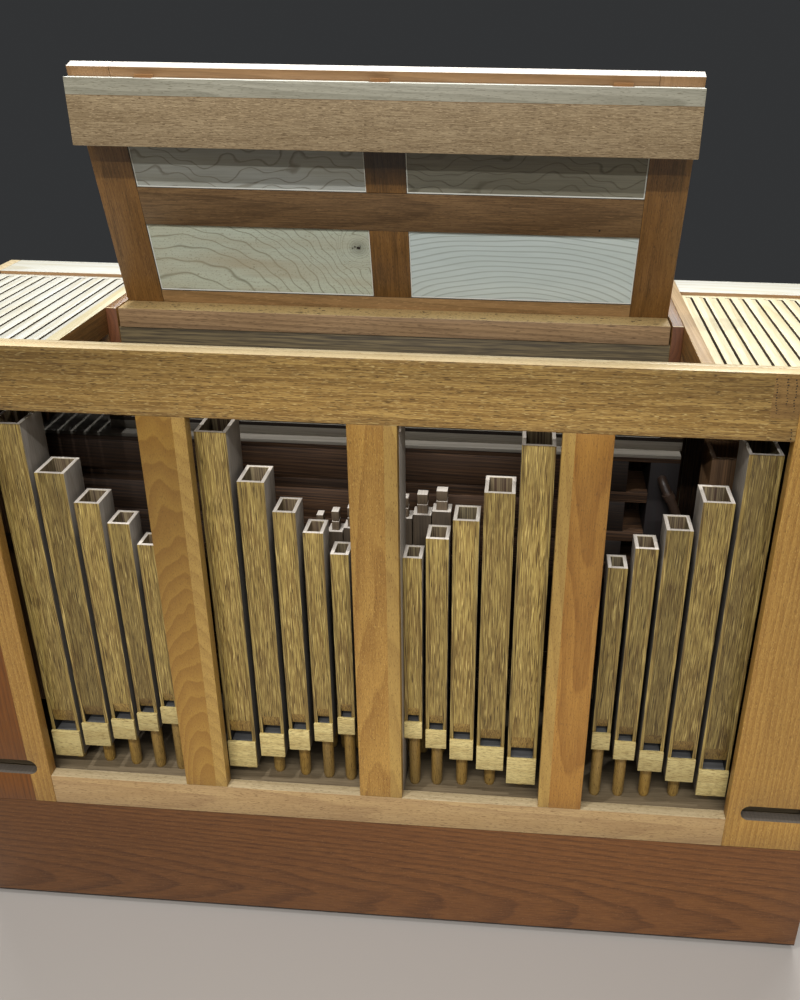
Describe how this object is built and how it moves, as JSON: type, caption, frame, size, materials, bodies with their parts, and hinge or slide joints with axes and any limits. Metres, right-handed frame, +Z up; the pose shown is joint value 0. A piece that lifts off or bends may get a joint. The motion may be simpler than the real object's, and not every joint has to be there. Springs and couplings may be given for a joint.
{
  "type": "pipe organ (chest organ)",
  "caption": "Chest organ in beech: open bays of wooden pipes, slotted top grilles, and a framed lid with a hinged flap over the keyboard.",
  "frame": {"origin": "middle of the floor rectangle under the whole organ, on the floor", "axes": "+Z up, +X to the right as seen from the pipe front, +Y towards the player's side"},
  "size_m": [1.38, 0.616, 1.3338],
  "materials": {
    "beech": "oiled",
    "plinth_wood": "oiled",
    "lid_wood": "oiled",
    "light_wood": "oiled",
    "pale_wood": "oiled",
    "panel_wood": "matt",
    "pipe_front": "matt",
    "pipe_side": "matt",
    "chest_wood": "matt",
    "inner_wood": "matt",
    "key_top": "satin",
    "key_sharp": "satin",
    "brass": "satin"
  },
  "bodies": {
    "root": {"base_runners": "inner_wood", "plinth_front": "plinth_wood", "plinth_back": "plinth_wood", "plinth_sides": "plinth_wood", "plinth_deck": "chest_wood", "front_bottom_rail": "beech", "front_top_rail": "beech", "front_post_left": "beech", "front_post_centre": "beech", "front_post_right": "beech", "front_end_panel_left": "beech", "front_end_panel_right": "beech", "side_panel_left": "beech", "side_panel_right": "beech", "top_lining": "beech", "well_borders": "light_wood", "grille_left": "pale_wood", "grille_right": "pale_wood", "top_back_boards": "pale_wood", "back_rails": "beech", "back_posts": "beech", "back_panels": "panel_wood", "wind_chest": "chest_wood", "toe_board": "chest_wood", "pipe_walls": "pipe_side", "pipe_fronts": "pipe_front", "pipe_caps": "light_wood", "pipe_blocks": "light_wood", "pipe_feet": "pipe_front", "pipe_rack": "light_wood", "rear_pipes": "inner_wood", "rear_stoppers": "pipe_side", "rear_feet": "pipe_front", "bass_pipes": "inner_wood", "bass_shelves": "chest_wood", "bass_posts": "inner_wood", "wind_tube": "chest_wood", "corner_pipes": "inner_wood", "centre_batten": "pipe_side", "desk_rail": "lid_wood", "desk_board": "chest_wood", "key_cheeks": "lid_wood", "key_bed": "chest_wood", "key_slip": "lid_wood", "key_frame": "light_wood", "key_blocks": "lid_wood", "natural_keys": "key_top", "sharp_keys": "key_sharp", "name_board": "lid_wood", "desk_shelf": "lid_wood"},
    "lid": {"lid_stiles": "lid_wood", "lid_rails": "lid_wood", "lid_muntins": "lid_wood", "lid_panels": "panel_wood", "lid_pivots": "brass", "flap_lugs": "brass"},
    "flap": {"flap_board": "beech", "flap_pins": "brass"}
  },
  "joints": [
    {"name": "lid_hinge", "type": "hinge", "parent": "root", "child": "lid", "pos_m": [0, -0.06046, 0.98172], "axis": [-1, 0, 0], "range_deg": [0, 106.5]},
    {"name": "flap_hinge", "type": "hinge", "parent": "lid", "child": "flap", "pos_m": [0, -0.17828, 1.30977], "axis": [1, 0, 0], "range_deg": [-90, 14]}
  ]
}
